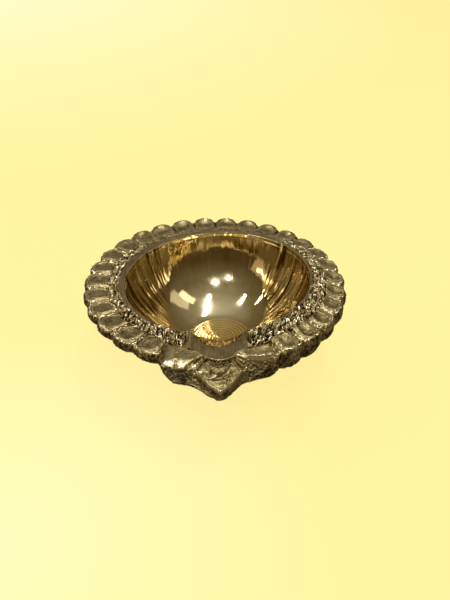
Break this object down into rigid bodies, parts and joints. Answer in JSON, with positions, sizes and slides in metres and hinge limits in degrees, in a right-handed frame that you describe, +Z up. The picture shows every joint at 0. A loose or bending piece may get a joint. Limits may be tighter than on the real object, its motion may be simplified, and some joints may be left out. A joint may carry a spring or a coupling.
{
  "type": "diya oil lamp",
  "caption": "Cast brass diya oil lamp: turned hemispherical bowl, scalloped petal rim, a notch and channel for the wick, and a pointed leaf tip on a low round foot.",
  "frame": {"origin": "centre of the foot's flat underside, where the lamp stands", "axes": "+Z up, the wick channel and the leaf tip point along -Y, +X is the right-hand side seen from the tip's front"},
  "size_m": [0.1008, 0.1119, 0.0381],
  "materials": {
    "polished_brass": "turned and polished inside, fine lathe lines and scratches, golden",
    "cast_brass": "aged sand-cast brass, dull olive-brown, dark in the grooves and bright on the worn crests"
  },
  "bodies": {
    "root": {"bowl": "polished_brass", "foot": "cast_brass", "scale_band": "cast_brass", "petal_rim": "cast_brass", "spout_plate": "cast_brass", "left_scroll": "cast_brass", "right_scroll": "cast_brass", "tip_leaf": "cast_brass"}
  },
  "joints": []
}
